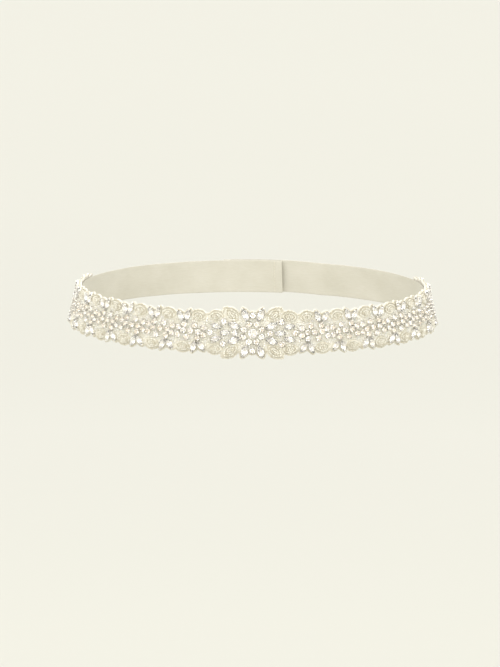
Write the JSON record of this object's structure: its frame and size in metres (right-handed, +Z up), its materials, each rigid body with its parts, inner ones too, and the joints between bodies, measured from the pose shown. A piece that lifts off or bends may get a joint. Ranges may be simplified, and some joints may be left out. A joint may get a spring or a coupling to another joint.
{
  "type": "bridal sash",
  "caption": "Bridal sash: an ivory satin ribbon in a ring, closed with press studs at the back, with a beaded and jewelled applique across its front and sides.",
  "frame": {"origin": "middle of the wearer's waist, at half the ribbon's height", "axes": "+Z up along the wearer's body, -Y towards the front of the sash, +X to the right as the front is looked at"},
  "size_m": [0.2672, 0.209, 0.036],
  "materials": {
    "ivory_satin": "satin",
    "beaded_net": "net covered with glass beads and crystals",
    "press_stud_metal": "polished"
  },
  "bodies": {
    "root": {"ribbon": "ivory_satin", "applique_centre": "beaded_net", "applique_left_1": "beaded_net", "applique_left_2": "beaded_net", "applique_left_3": "beaded_net", "applique_left_4": "beaded_net", "applique_right_1": "beaded_net", "applique_right_2": "beaded_net", "applique_right_3": "beaded_net", "applique_right_4": "beaded_net", "press_stud_socket_1": "press_stud_metal", "press_stud_socket_2": "press_stud_metal", "press_stud_ball_1": "press_stud_metal", "press_stud_ball_2": "press_stud_metal"}
  },
  "joints": []
}
